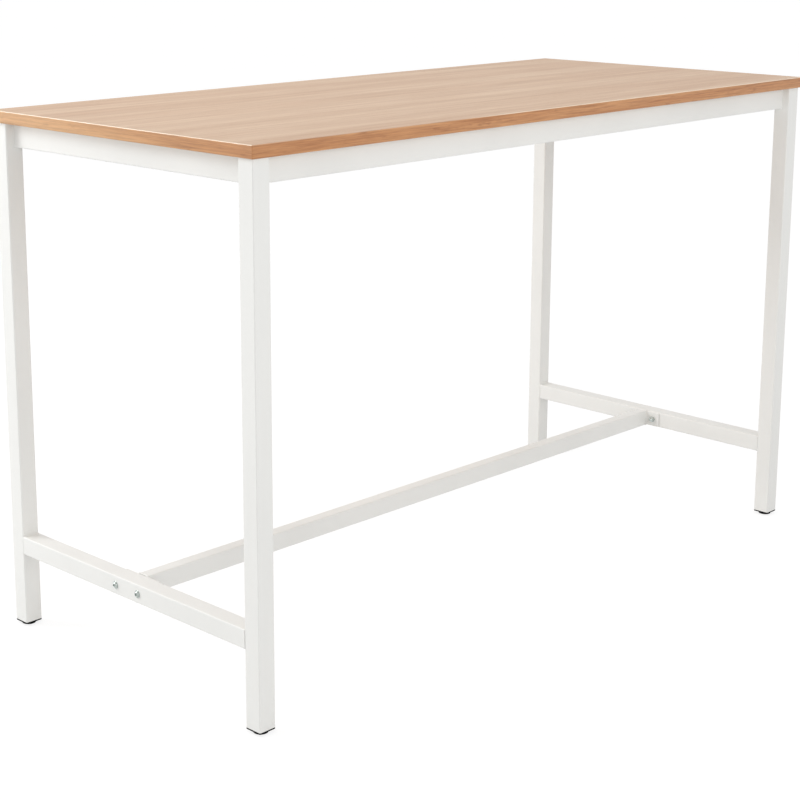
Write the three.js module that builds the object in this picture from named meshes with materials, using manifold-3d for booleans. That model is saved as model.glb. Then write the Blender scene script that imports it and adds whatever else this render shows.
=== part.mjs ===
// Standing meeting table: a wood-effect board on a white frame of square steel tube.
// Millimetres, +Z up. The origin is on the floor, under the middle of the table.
// X runs along the table's length and Y across its depth, from the front to the back.
import * as THREE from "three";
import { mergeVertices } from "three/addons/utils/BufferGeometryUtils.js";
import Module from "manifold-3d";

const wasm = await Module();
wasm.setup();

// Overall sizes
const TABLE_LENGTH = 1800;
const TABLE_DEPTH = 800;
const TABLE_HEIGHT = 1115;

// Board and the band round its edges
const TOP_THICKNESS = 25;
const BAND_THICKNESS = 2;
const BAND_ARRIS = 1.8; // radius of the band's long edges
const BAND_CORNER = 0.3; // radius of the flat face's corners, inside the arris

// Tubes of the frame
const TUBE_WALL = 1.5;
const TUBE_BEND = 1.5; // inside radius of a tube's corners
const LEG_WIDTH = 40;
const LEG_SETBACK = 6; // from the edge of the top to the leg's outer face
const RAIL_HEIGHT = 50;
const RAIL_WIDTH = 20;
const RAIL_RECESS = 2; // from the leg's inner face to the rail's inner face
const STRETCHER_HEIGHT = 40;
const STRETCHER_TOP = 205; // above the floor
const LONG_STRETCHER_WIDTH = 30;

// Bolted joint between the long stretcher and the end stretchers
const PLATE_THICKNESS = 4;
const PLATE_CORNER = 1.5;
const PLATE_INSET = 1.5; // from the stretcher's top and bottom to the plate's
const PLATE_EDGE = 18; // from a bolt to the end of the plate
const BOLT_OFFSET = 20; // from the side of the long stretcher to a bolt
const BOLT_DIAMETER = 8;
const BOLT_COLLAR_DIAMETER = 16.5;
const BOLT_HEAD_DIAMETER = 13;
const BOLT_HEAD_HEIGHT = 4.5;
const BOLT_CHAMFER = 1;
const SOCKET_ACROSS_FLATS = 5;
const SOCKET_DEPTH = 2.5;
const NUT_ACROSS_FLATS = 13;
const NUT_HEX_HEIGHT = 7;
const NUT_DOME_DIAMETER = 12;
const NUT_BORE_DEPTH = 10;

// Braces that tie the long rails to the end rails, in the corners under the top
const BRACE_HEIGHT = 40;
const BRACE_THICKNESS = 3;
const BRACE_REACH = 60; // from the corner of the rails to where the diagonal meets each rail
const BRACE_FLANGE = 36;
const BRACE_BOLT_DIAMETER = 6;
const BRACE_BOLT_LENGTH = 16;
const BRACE_BOLT_HEAD_DIAMETER = 11;
const BRACE_BOLT_HEAD_HEIGHT = 3.5;

// Tabs on the long rails and the screws that hold the top down
const LUG_LENGTH = 30;
const LUG_REACH = 24;
const LUG_THICKNESS = 3;
const LUG_CORNER = 4;
const LUG_SPREAD = 0.65; // place of the outer tabs, as a share of the rail's half length
const SCREW_DIAMETER = 4.5;
const SCREW_BITE = 16; // depth in the board
const SCREW_POINT = 3;
const SCREW_HEAD_DIAMETER = 9;
const SCREW_HEAD_HEIGHT = 3;
const HEAD_RIM = 1; // straight side of a head or of its collar, under the dome

// Levelling feet, screwed fully in, and the plugs that hold them
const FOOT_DIAMETER = 30;
const FOOT_HEIGHT = 6;
const FOOT_EDGE = 1.5; // radius where the foot meets the floor
const FOOT_FLOOR = 2; // plastic under the stud
const STUD_DIAMETER = 8;
const STUD_LENGTH = 44;
const INSERT_FLANGE = 3;
const INSERT_HEIGHT = 20; // inside the leg
const INSERT_WALL = 2.5;
const INSERT_FIN_COUNT = 3;
const INSERT_FIN_THICKNESS = 1.5;
const INSERT_FIN_DEPTH = 1.2;
const INSERT_BOSS_DIAMETER = 15;
const INSERT_WEB = 2;

// Fits
const SEAT_GAP = 0.1; // film of paint, glue or weld between two faces that rest on each other
const HOLE_CLEARANCE = 0.3; // all round a shank in its hole

// Roundness
const CORNER_SEGMENTS = 2; // three.js draws twice as many on a round corner
const DOME_SEGMENTS = 4;
const ROUND_SEGMENTS = 12;
const FOOT_SEGMENTS = 24;

const TOP_UNDERSIDE = TABLE_HEIGHT - TOP_THICKNESS;
const FRAME_TOP = TOP_UNDERSIDE - SEAT_GAP;
const LEG_BOTTOM = FOOT_HEIGHT + INSERT_FLANGE + SEAT_GAP;
const LEG_OUTER_X = TABLE_LENGTH / 2 - LEG_SETBACK;
const LEG_OUTER_Y = TABLE_DEPTH / 2 - LEG_SETBACK;
const LEG_INNER_X = LEG_OUTER_X - LEG_WIDTH;
const LEG_INNER_Y = LEG_OUTER_Y - LEG_WIDTH;
const LEG_X = LEG_OUTER_X - LEG_WIDTH / 2;
const LEG_Y = LEG_OUTER_Y - LEG_WIDTH / 2;
const RAIL_INNER_X = LEG_INNER_X + RAIL_RECESS;
const RAIL_INNER_Y = LEG_INNER_Y + RAIL_RECESS;
const RAIL_MIDDLE = FRAME_TOP - RAIL_HEIGHT / 2;
const STRETCHER_MIDDLE = STRETCHER_TOP - STRETCHER_HEIGHT / 2;
const PLATE_OUTER = LEG_INNER_X - SEAT_GAP;
const PLATE_INNER = PLATE_OUTER - PLATE_THICKNESS;
const BOLT_Y = LONG_STRETCHER_WIDTH / 2 + BOLT_OFFSET;
const BRACE_BOLT_X = RAIL_INNER_X - BRACE_REACH - BRACE_FLANGE / 2;

const ENDS = { left: -1, right: 1 };
const SIDES = { front: -1, back: 1 };

// Quarter turns that lay a piece modelled along +Z on another axis, with no rounding
const ALONG_X = new THREE.Quaternion(0.5, 0.5, 0.5, 0.5); // its X to Y, its Y to Z
const ALONG_Y = new THREE.Quaternion(-0.5, -0.5, -0.5, 0.5); // its X to Z, its Y to X
const HALF_TURN = new THREE.Quaternion(0, 0, 1, 0); // about Z

const whiteCoat = new THREE.MeshStandardMaterial({ color: 0xf1f1ee, roughness: 0.45, metalness: 0 });
const woodFace = new THREE.MeshStandardMaterial({ color: 0xdcc0a4, roughness: 0.5, metalness: 0 });
const woodBand = new THREE.MeshStandardMaterial({ color: 0xbe8a5f, roughness: 0.5, metalness: 0 });
const zinc = new THREE.MeshStandardMaterial({ color: 0xb4b9b8, roughness: 0.35, metalness: 1 });
const blackPlastic = new THREE.MeshStandardMaterial({ color: 0x17171a, roughness: 0.6, metalness: 0 });

const table = new THREE.Group();

function add(name, geometry, material, position, quaternion = new THREE.Quaternion()) {
  const mesh = new THREE.Mesh(geometry, material);
  mesh.name = name;
  mesh.position.set(...position);
  mesh.quaternion.copy(quaternion);
  table.add(mesh);
}

// A closed geometry as a solid that can be joined and cut
function solid(geometry) {
  const bare = geometry.clone();
  bare.deleteAttribute("normal");
  bare.deleteAttribute("uv");
  const merged = mergeVertices(bare);
  return new wasm.Manifold(
    new wasm.Mesh({
      numProp: 3,
      vertProperties: merged.attributes.position.array,
      triVerts: new Uint32Array(merged.index.array),
    }),
  );
}

function geometryOf(body) {
  const { vertProperties, triVerts } = body.getMesh();
  const geometry = new THREE.BufferGeometry();
  geometry.setAttribute("position", new THREE.BufferAttribute(vertProperties, 3));
  geometry.setIndex(new THREE.BufferAttribute(triVerts, 1));
  geometry.computeVertexNormals();
  return geometry;
}

function cut(geometry, tools) {
  return geometryOf(tools.reduce((body, tool) => body.subtract(solid(tool)), solid(geometry)));
}

function join(geometries) {
  return geometryOf(geometries.map(solid).reduce((body, other) => body.add(other)));
}

// A rectangle about the origin with round corners
function roundedRectangle(width, height, radius, path = new THREE.Shape()) {
  const x = width / 2 - radius;
  const y = height / 2 - radius;
  path.absarc(x, y, radius, 0, Math.PI / 2);
  path.absarc(-x, y, radius, Math.PI / 2, Math.PI);
  path.absarc(-x, -y, radius, Math.PI, Math.PI * 1.5);
  path.absarc(x, -y, radius, Math.PI * 1.5, Math.PI * 2);
  path.closePath();
  return path;
}

function extrude(shape, depth) {
  const options = { depth, bevelEnabled: false, curveSegments: CORNER_SEGMENTS };
  return new THREE.ExtrudeGeometry(shape, options);
}

// A tube with a round-cornered section, centred on the origin and along Z
function tube(width, height, length) {
  const section = roundedRectangle(width, height, TUBE_BEND + TUBE_WALL);
  const bore = new THREE.Path();
  roundedRectangle(width - 2 * TUBE_WALL, height - 2 * TUBE_WALL, TUBE_BEND, bore);
  section.holes.push(bore);
  return extrude(section, length).translate(0, 0, -length / 2);
}

// A profile of [radius, height] points turned about Z
function turn(profile, segments = ROUND_SEGMENTS) {
  const points = profile.map(([radius, height]) => new THREE.Vector2(radius, height));
  return new THREE.LatheGeometry(points, segments).rotateX(Math.PI / 2);
}

// A bar along Z from one height to another: round, or a hexagon with six segments
function rod(diameter, from, to, segments = ROUND_SEGMENTS) {
  return new THREE.CylinderGeometry(diameter / 2, diameter / 2, to - from, segments)
    .rotateX(Math.PI / 2)
    .translate(0, 0, (from + to) / 2);
}

function hexagonRod(acrossFlats, from, to) {
  return rod((2 * acrossFlats) / Math.sqrt(3), from, to, 6);
}

// A quarter of an ellipse as [across, along] points, from the crown (0, 1) to the side (1, 0)
function quarterArc(across, along) {
  return Array.from({ length: DOME_SEGMENTS + 1 }, (_, step) => {
    const angle = ((step / DOME_SEGMENTS) * Math.PI) / 2;
    return [across * Math.sin(angle), along * Math.cos(angle)];
  });
}

// A bolt along +Z with a domed head below zero, which may stand on a collar, and a chamfered tip
function bolt(diameter, length, headDiameter, headHeight, collarDiameter = headDiameter) {
  const dome = quarterArc(headDiameter / 2, headHeight - HEAD_RIM);
  const step = collarDiameter > headDiameter ? [[collarDiameter / 2, -HEAD_RIM]] : [];
  return turn([
    ...dome.map(([radius, rise]) => [radius, -HEAD_RIM - rise]),
    ...step,
    [collarDiameter / 2, 0],
    [diameter / 2, 0],
    [diameter / 2, length - BOLT_CHAMFER],
    [diameter / 2 - BOLT_CHAMFER, length],
    [0, length],
  ]);
}

// The top: one outline with rounded arrises, of which the band is the outer slices
function addTop() {
  const outline = roundedRectangle(
    TABLE_LENGTH - 2 * BAND_ARRIS,
    TABLE_DEPTH - 2 * BAND_ARRIS,
    BAND_CORNER,
  );
  const whole = solid(
    new THREE.ExtrudeGeometry(outline, {
      depth: TOP_THICKNESS - 2 * BAND_ARRIS,
      bevelThickness: BAND_ARRIS,
      bevelSize: BAND_ARRIS,
      bevelSegments: DOME_SEGMENTS,
      curveSegments: CORNER_SEGMENTS,
    }).translate(0, 0, BAND_ARRIS - TOP_THICKNESS / 2),
  );
  const middle = TABLE_HEIGHT - TOP_THICKNESS / 2;
  const boardLength = TABLE_LENGTH - 2 * (BAND_THICKNESS + SEAT_GAP);
  const boardDepth = TABLE_DEPTH - 2 * (BAND_THICKNESS + SEAT_GAP);
  const pilotTop = SCREW_BITE + HOLE_CLEARANCE - TOP_THICKNESS / 2;
  const pilots = lugPlaces().map(({ x, y }) =>
    rod(SCREW_DIAMETER + 2 * HOLE_CLEARANCE, -TOP_THICKNESS, pilotTop).translate(x, y, 0),
  );
  const board = cut(new THREE.BoxGeometry(boardLength, boardDepth, TOP_THICKNESS), pilots);
  add("table_top", board, woodFace, [0, 0, middle]);

  const addBand = (name, length, depth, x, y) => {
    const slice = new THREE.BoxGeometry(length, depth, 2 * TOP_THICKNESS).translate(x, y, 0);
    add(name, geometryOf(whole.intersect(solid(slice))), woodBand, [0, 0, middle]);
  };
  for (const [side, sign] of Object.entries(SIDES)) {
    const y = (sign * (TABLE_DEPTH - BAND_THICKNESS)) / 2;
    addBand(`edge_band_${side}`, TABLE_LENGTH, BAND_THICKNESS, 0, y);
  }
  for (const [end, sign] of Object.entries(ENDS)) {
    const x = (sign * (TABLE_LENGTH - BAND_THICKNESS)) / 2;
    addBand(`edge_band_${end}`, BAND_THICKNESS, boardDepth, x, 0);
  }
}

// Legs with their plugs and levelling feet
function addLegs() {
  const legLength = FRAME_TOP - LEG_BOTTOM;
  const leg = tube(LEG_WIDTH, LEG_WIDTH, legLength);
  const insert = insertGeometry();
  const stud = turn([
    [0, 0],
    [STUD_DIAMETER / 2, 0],
    [STUD_DIAMETER / 2, STUD_LENGTH - BOLT_CHAMFER],
    [STUD_DIAMETER / 2 - BOLT_CHAMFER, STUD_LENGTH],
    [0, STUD_LENGTH],
  ]);
  const pad = padGeometry();
  for (const [side, depthSign] of Object.entries(SIDES)) {
    for (const [end, lengthSign] of Object.entries(ENDS)) {
      const corner = `${side}_${end}`;
      const x = lengthSign * LEG_X;
      const y = depthSign * LEG_Y;
      add(`leg_${corner}`, leg, whiteCoat, [x, y, LEG_BOTTOM + legLength / 2]);
      add(`leg_insert_${corner}`, insert, blackPlastic, [x, y, LEG_BOTTOM - SEAT_GAP]);
      add(`foot_stud_${corner}`, stud, zinc, [x, y, FOOT_FLOOR + SEAT_GAP]);
      add(`foot_pad_${corner}`, pad, blackPlastic, [x, y, 0]);
    }
  }
}

// A plug for the leg's foot: a flange below zero, and above it a finned hollow body with a boss
function insertGeometry() {
  const finWidth = LEG_WIDTH - 2 * TUBE_WALL - 2 * HOLE_CLEARANCE;
  const bodyWidth = finWidth - 2 * INSERT_FIN_DEPTH;
  const hollow = bodyWidth - 2 * INSERT_WALL;
  const sink = INSERT_FLANGE / 2; // how far the body reaches into the flange
  const ring = (width, bore, from, to) => {
    const section = roundedRectangle(width, width, TUBE_BEND);
    section.holes.push(roundedRectangle(bore, bore, TUBE_BEND, new THREE.Path()));
    return extrude(section, to - from).translate(0, 0, from);
  };
  const web = new THREE.BoxGeometry(hollow + INSERT_WALL, INSERT_WEB, INSERT_HEIGHT + sink);
  web.translate(0, 0, (INSERT_HEIGHT - sink) / 2);
  const flange = extrude(
    roundedRectangle(LEG_WIDTH, LEG_WIDTH, TUBE_BEND + TUBE_WALL),
    INSERT_FLANGE - SEAT_GAP,
  );
  const fins = Array.from({ length: INSERT_FIN_COUNT }, (_, fin) => {
    const from = ((fin + 0.5) * INSERT_HEIGHT) / INSERT_FIN_COUNT;
    return ring(finWidth, hollow + INSERT_WALL, from, from + INSERT_FIN_THICKNESS);
  });
  const body = join([
    flange.translate(0, 0, SEAT_GAP - INSERT_FLANGE),
    ring(bodyWidth, hollow, -sink, INSERT_HEIGHT),
    rod(INSERT_BOSS_DIAMETER, -sink, INSERT_HEIGHT),
    web,
    web.clone().rotateZ(Math.PI / 2),
    ...fins,
  ]);
  const studHole = rod(STUD_DIAMETER + 2 * HOLE_CLEARANCE, -2 * INSERT_FLANGE, 2 * INSERT_HEIGHT);
  return cut(body, [studHole]);
}

// A round foot with a soft lower edge and a socket for its stud
function padGeometry() {
  const radius = FOOT_DIAMETER / 2;
  const socket = STUD_DIAMETER / 2 + HOLE_CLEARANCE;
  const edge = quarterArc(FOOT_EDGE, FOOT_EDGE);
  const profile = [
    [0, 0],
    ...edge.map(([across, along]) => [radius - FOOT_EDGE + across, FOOT_EDGE - along]),
    [radius, FOOT_HEIGHT],
    [socket, FOOT_HEIGHT],
    [socket, FOOT_FLOOR],
    [0, FOOT_FLOOR],
  ];
  return turn(profile, FOOT_SEGMENTS);
}

// Rails under the top, butted between the legs
function addRails() {
  const endRail = tube(RAIL_HEIGHT, RAIL_WIDTH, 2 * (LEG_INNER_Y - SEAT_GAP));
  for (const [end, sign] of Object.entries(ENDS)) {
    const x = sign * (RAIL_INNER_X + RAIL_WIDTH / 2);
    add(`end_rail_${end}`, endRail, whiteCoat, [x, 0, RAIL_MIDDLE], ALONG_Y);
  }
  // The brace bolts go through the wall on the rail's own +X side, towards the middle of the table
  const drills = Object.values(ENDS).map((endSign) =>
    rod(BRACE_BOLT_DIAMETER + 2 * HOLE_CLEARANCE, 0, RAIL_WIDTH)
      .applyQuaternion(ALONG_X)
      .translate(0, 0, endSign * BRACE_BOLT_X),
  );
  const longRail = cut(tube(RAIL_WIDTH, RAIL_HEIGHT, 2 * (LEG_INNER_X - SEAT_GAP)), drills);
  for (const [side, sign] of Object.entries(SIDES)) {
    const y = sign * (RAIL_INNER_Y + RAIL_WIDTH / 2);
    const facing = sign < 0 ? ALONG_X : HALF_TURN.clone().multiply(ALONG_X);
    add(`long_rail_${side}`, longRail, whiteCoat, [0, y, RAIL_MIDDLE], facing);
  }
}

// Diagonal braces in the corners, welded to the end rails and bolted to the long rails
function addBraces() {
  const fold = BRACE_THICKNESS * Math.tan(Math.PI / 8);
  const near = SEAT_GAP;
  const far = SEAT_GAP + BRACE_THICKNESS;
  const tip = BRACE_REACH + BRACE_FLANGE;
  // Distances from the inner faces of the end rail and of the long rail
  const plan = [
    [near, tip],
    [near, BRACE_REACH],
    [BRACE_REACH, near],
    [tip, near],
    [tip, far],
    [BRACE_REACH + fold, far],
    [far, BRACE_REACH + fold],
    [far, tip],
  ];
  const braceBolt = bolt(
    BRACE_BOLT_DIAMETER,
    BRACE_BOLT_LENGTH,
    BRACE_BOLT_HEAD_DIAMETER,
    BRACE_BOLT_HEAD_HEIGHT,
  );
  const drill = rod(BRACE_BOLT_DIAMETER + 2 * HOLE_CLEARANCE, -RAIL_WIDTH, RAIL_WIDTH);
  drill.applyQuaternion(ALONG_Y);
  for (const [side, depthSign] of Object.entries(SIDES)) {
    for (const [end, lengthSign] of Object.entries(ENDS)) {
      const corner = `${side}_${end}`;
      const toPlan = ([u, v]) =>
        new THREE.Vector2(lengthSign * (RAIL_INNER_X - u), depthSign * (RAIL_INNER_Y - v));
      const boltX = lengthSign * BRACE_BOLT_X;
      const hole = drill.clone().translate(boltX, depthSign * RAIL_INNER_Y, BRACE_HEIGHT / 2);
      const brace = cut(extrude(new THREE.Shape(plan.map(toPlan)), BRACE_HEIGHT), [hole]);
      add(`corner_brace_${corner}`, brace, whiteCoat, [0, 0, RAIL_MIDDLE - BRACE_HEIGHT / 2]);
      const seat = depthSign * (RAIL_INNER_Y - far - SEAT_GAP);
      const outward = depthSign > 0 ? ALONG_Y : HALF_TURN.clone().multiply(ALONG_Y);
      add(`brace_bolt_${corner}`, braceBolt, zinc, [boltX, seat, RAIL_MIDDLE], outward);
    }
  }
}

// Where the tabs hold the top down: a row along each long rail
function lugPlaces() {
  const along = { left: -LUG_SPREAD, middle: 0, right: LUG_SPREAD };
  return Object.entries(SIDES).flatMap(([side, sign]) =>
    Object.entries(along).map(([place, share]) => ({
      name: `${side}_${place}`,
      x: share * LEG_INNER_X,
      y: sign * (RAIL_INNER_Y - SEAT_GAP - LUG_REACH / 2),
    })),
  );
}

function addTopFixings() {
  const hole = rod(SCREW_DIAMETER + 2 * HOLE_CLEARANCE, -LUG_THICKNESS, 2 * LUG_THICKNESS);
  const lugOutline = roundedRectangle(LUG_LENGTH, LUG_REACH, LUG_CORNER);
  const lug = cut(extrude(lugOutline, LUG_THICKNESS), [hole]);
  const shank = LUG_THICKNESS + 2 * SEAT_GAP + SCREW_BITE;
  const dome = quarterArc(SCREW_HEAD_DIAMETER / 2, SCREW_HEAD_HEIGHT - HEAD_RIM);
  const screw = turn([
    ...dome.map(([radius, rise]) => [radius, -HEAD_RIM - rise]),
    [SCREW_HEAD_DIAMETER / 2, 0],
    [SCREW_DIAMETER / 2, 0],
    [SCREW_DIAMETER / 2, shank - SCREW_POINT],
    [0, shank],
  ]);
  for (const { name, x, y } of lugPlaces()) {
    add(`top_lug_${name}`, lug, whiteCoat, [x, y, FRAME_TOP - LUG_THICKNESS]);
    add(`top_screw_${name}`, screw, zinc, [x, y, FRAME_TOP - LUG_THICKNESS - SEAT_GAP]);
  }
}

// The low H-shaped brace: two end stretchers and the long stretcher bolted between them
function addStretchers() {
  const holeDiameter = BOLT_DIAMETER + 2 * HOLE_CLEARANCE;
  const rows = Object.values(SIDES).map((sign) => sign * BOLT_Y);
  const endDrills = rows.map((row) =>
    rod(holeDiameter, -LEG_WIDTH, LEG_WIDTH).rotateX(Math.PI / 2).translate(0, 0, row),
  );
  const endTube = tube(STRETCHER_HEIGHT, LEG_WIDTH, 2 * (LEG_INNER_Y - SEAT_GAP));
  const endStretcher = cut(endTube, endDrills);
  const plateOutline = roundedRectangle(
    2 * (BOLT_Y + PLATE_EDGE),
    STRETCHER_HEIGHT - 2 * PLATE_INSET,
    PLATE_CORNER,
  );
  const plateDrills = rows.map((row) =>
    rod(holeDiameter, -PLATE_THICKNESS, 2 * PLATE_THICKNESS).translate(row, 0, 0),
  );
  const plate = cut(extrude(plateOutline, PLATE_THICKNESS), plateDrills);
  const stretcherBolt = socketBolt();
  const nut = capNut(holeDiameter);
  for (const [end, sign] of Object.entries(ENDS)) {
    add(`end_stretcher_${end}`, endStretcher, whiteCoat, [sign * LEG_X, 0, STRETCHER_MIDDLE], ALONG_Y);
    // Plate, bolts and nuts point from the end of the table towards its middle
    const inward = sign < 0 ? ALONG_X : HALF_TURN.clone().multiply(ALONG_X);
    add(`stretcher_plate_${end}`, plate, whiteCoat, [sign * PLATE_OUTER, 0, STRETCHER_MIDDLE], inward);
    const headSeat = sign * (LEG_OUTER_X + SEAT_GAP);
    const nutSeat = sign * (PLATE_INNER - SEAT_GAP);
    for (const [side, depthSign] of Object.entries(SIDES)) {
      const y = depthSign * BOLT_Y;
      add(`stretcher_bolt_${end}_${side}`, stretcherBolt, zinc, [headSeat, y, STRETCHER_MIDDLE], inward);
      add(`stretcher_nut_${end}_${side}`, nut, zinc, [nutSeat, y, STRETCHER_MIDDLE], inward);
    }
  }
  const longStretcher = tube(LONG_STRETCHER_WIDTH, STRETCHER_HEIGHT, 2 * (PLATE_INNER - SEAT_GAP));
  add("long_stretcher", longStretcher, whiteCoat, [0, 0, STRETCHER_MIDDLE], ALONG_X);
}

// A collared button-head bolt with a hexagon socket, which ends inside its cap nut
function socketBolt() {
  const length = LEG_WIDTH + PLATE_THICKNESS + 3 * SEAT_GAP + NUT_BORE_DEPTH - BOLT_CHAMFER;
  const blank = bolt(
    BOLT_DIAMETER,
    length,
    BOLT_HEAD_DIAMETER,
    BOLT_HEAD_HEIGHT,
    BOLT_COLLAR_DIAMETER,
  );
  const socketFloor = SOCKET_DEPTH - BOLT_HEAD_HEIGHT;
  return cut(blank, [hexagonRod(SOCKET_ACROSS_FLATS, -2 * BOLT_HEAD_HEIGHT, socketFloor)]);
}

// A hexagon nut closed by a dome, which sits at zero and takes the bolt from below
function capNut(bore) {
  const radius = NUT_DOME_DIAMETER / 2;
  const dome = quarterArc(radius, radius).map(([across, rise]) => [across, NUT_HEX_HEIGHT + rise]);
  const blank = join([
    hexagonRod(NUT_ACROSS_FLATS, 0, NUT_HEX_HEIGHT),
    turn([[0, NUT_HEX_HEIGHT / 2], [radius, NUT_HEX_HEIGHT / 2], ...dome.reverse()]),
  ]);
  return cut(blank, [rod(bore, -NUT_HEX_HEIGHT, NUT_BORE_DEPTH)]);
}

addTop();
addLegs();
addRails();
addBraces();
addTopFixings();
addStretchers();

export default table;
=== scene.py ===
"""Looks of a standing meeting table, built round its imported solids.

Metres, +Z up. X runs along the table's length and Y across its depth, from the front to the back.
"""

from __future__ import annotations

import logging
import math
from dataclasses import dataclass, field
from enum import Enum
from typing import Any, Dict, List, Mapping, Optional, Sequence, Tuple, Union

import bpy
import numpy as np
from mathutils import Matrix, Vector


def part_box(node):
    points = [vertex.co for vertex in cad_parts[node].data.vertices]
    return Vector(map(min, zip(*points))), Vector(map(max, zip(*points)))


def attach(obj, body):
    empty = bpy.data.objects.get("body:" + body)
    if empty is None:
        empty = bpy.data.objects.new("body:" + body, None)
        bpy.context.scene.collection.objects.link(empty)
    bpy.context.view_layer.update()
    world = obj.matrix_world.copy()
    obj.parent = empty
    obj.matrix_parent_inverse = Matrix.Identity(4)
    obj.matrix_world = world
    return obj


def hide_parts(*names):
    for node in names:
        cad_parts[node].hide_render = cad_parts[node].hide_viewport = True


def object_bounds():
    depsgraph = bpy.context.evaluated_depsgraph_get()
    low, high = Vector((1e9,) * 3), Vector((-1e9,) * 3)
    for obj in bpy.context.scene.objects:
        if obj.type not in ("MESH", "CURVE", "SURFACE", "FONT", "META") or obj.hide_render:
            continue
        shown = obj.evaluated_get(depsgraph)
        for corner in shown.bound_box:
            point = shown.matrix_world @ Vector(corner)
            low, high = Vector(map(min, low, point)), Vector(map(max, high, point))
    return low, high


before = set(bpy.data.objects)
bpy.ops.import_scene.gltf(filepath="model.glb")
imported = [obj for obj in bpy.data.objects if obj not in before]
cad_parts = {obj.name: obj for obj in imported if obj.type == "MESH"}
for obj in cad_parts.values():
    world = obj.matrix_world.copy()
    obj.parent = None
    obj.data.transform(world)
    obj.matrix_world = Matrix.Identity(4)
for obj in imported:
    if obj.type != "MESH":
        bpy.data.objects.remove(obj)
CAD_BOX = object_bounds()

MM = 0.001
FULL_TURN = 2 * np.pi
QUARTER_TURN = np.pi / 2
BODY = "table"
ENDS = ("left", "right")
SIDES = ("front", "back")
SIGNS = (-1, 1)
CORNERS = tuple(f"{side}_{end}" for side in SIDES for end in ENDS)
UP = (0, 0, 1)
DOWN = (0, 0, -1)
WHITE = (1.0, 1.0, 1.0, 1.0)
LOG = logging.getLogger("table")

Operand = Union["Value", float, int]
Colour = Tuple[float, float, float, float]
Pair = Tuple[float, float]
Triple = Tuple[float, float, float]


def srgb(red: int, green: int, blue: int) -> Colour:
    """Turns 0 to 255 display values into the linear colour that a shader takes, by the sRGB curve.

    Args:
        red, green, blue: display values.

    Returns:
        The linear colour, opaque.
    """
    display = np.array([red, green, blue]) / 255
    linear = np.where(display <= 0.04045, display / 12.92, ((display + 0.055) / 1.055) ** 2.4)
    return (float(linear[0]), float(linear[1]), float(linear[2]), 1.0)


def cube(scale: float) -> Triple:
    """The same scale along all three axes."""
    return (scale, scale, scale)


class Value:
    """A shader socket that takes part in Python arithmetic."""

    def __init__(self, graph: Graph, socket: Optional[bpy.types.NodeSocket]) -> None:
        """Wraps a socket of a graph."""
        self.graph = graph
        self.socket = socket

    def _math(self, operation: str, first: Operand, second: Operand) -> Value:
        """Adds a Math node on two operands."""
        return self.graph.node("ShaderNodeMath", {"operation": operation}, {0: first, 1: second})

    def __add__(self, other: Operand) -> Value:
        """The sum."""
        return self._math("ADD", self, other)

    def __radd__(self, other: Operand) -> Value:
        """The sum, from the right."""
        return self._math("ADD", other, self)

    def __sub__(self, other: Operand) -> Value:
        """The difference."""
        return self._math("SUBTRACT", self, other)

    def __rsub__(self, other: Operand) -> Value:
        """The difference, from the right."""
        return self._math("SUBTRACT", other, self)

    def __mul__(self, other: Operand) -> Value:
        """The product."""
        return self._math("MULTIPLY", self, other)

    def __rmul__(self, other: Operand) -> Value:
        """The product, from the right."""
        return self._math("MULTIPLY", other, self)

    def larger(self, other: Operand) -> Value:
        """The larger of the two."""
        return self._math("MAXIMUM", self, other)

    def swing(self) -> Value:
        """How far a noise lies from its mean, a half."""
        return self - 0.5

    def step(self, low: float, high: float) -> Value:
        """Rises smoothly from 0 where the value is low to 1 where it is high."""
        sockets = {"Value": self, "From Min": low, "From Max": high, "To Min": 0.0, "To Max": 1.0}
        return self.graph.node("ShaderNodeMapRange", {"interpolation_type": "SMOOTHSTEP"}, sockets)


class Graph:
    """The node tree of one material or of the world."""

    def __init__(self, tree: bpy.types.NodeTree) -> None:
        """Takes over a tree and clears it."""
        tree.nodes.clear()
        self.tree = tree

    def node(
        self,
        kind: str,
        settings: Optional[Mapping[str, Any]] = None,
        sockets: Optional[Mapping[Union[str, int], Any]] = None,
        out: Union[str, int] = 0,
    ) -> Value:
        """Adds one node.

        Args:
            kind: the node's type.
            settings: its own properties, set first.
            sockets: values or links of its inputs, by name or number.
            out: the output to hand back.

        Returns:
            That output, or a value with no socket where the node ends the tree.
        """
        made = self.tree.nodes.new(kind)
        for name, value in (settings or {}).items():
            setattr(made, name, value)
        for key, value in (sockets or {}).items():
            if isinstance(value, Value):
                self.tree.links.new(value.socket, made.inputs[key])
            else:
                made.inputs[key].default_value = value
        return Value(self, made.outputs[out] if len(made.outputs) else None)

    def noise(
        self,
        source: str,
        scale: Triple,
        detail: float = 2.0,
        share: float = 0.5,
        shift: Triple = (0.0, 0.0, 0.0),
    ) -> Value:
        """Cloudy noise about a half.

        Args:
            source: Object, in metres from the table's origin, or UV, in metres along a piece.
            scale: features to the metre along each axis.
            detail: octaves.
            share: of each finer octave.
            shift: moves the pattern, in features.

        Returns:
            The noise.
        """
        at = self.node("ShaderNodeTexCoord", out=source)
        stretched = {"Vector": at, "Scale": scale, "Location": shift}
        placed = self.node("ShaderNodeMapping", {}, stretched)
        sockets = {"Vector": placed, "Scale": 1.0, "Detail": detail, "Roughness": share}
        return self.node("ShaderNodeTexNoise", {}, sockets)

    def mix(self, share: Operand, first: Any, second: Any) -> Value:
        """Blends two colours, by a share of the second."""
        settings = {"data_type": "RGBA", "blend_type": "MIX"}
        return self.node("ShaderNodeMix", settings, {0: share, 6: first, 7: second}, out=2)

    def bump(self, height: Value, distance: float, strength: float) -> Value:
        """A normal tilted by a height, of which 1 stands for a distance in metres."""
        sockets = {"Height": height, "Distance": distance, "Strength": strength}
        return self.node("ShaderNodeBump", {}, sockets)


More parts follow.
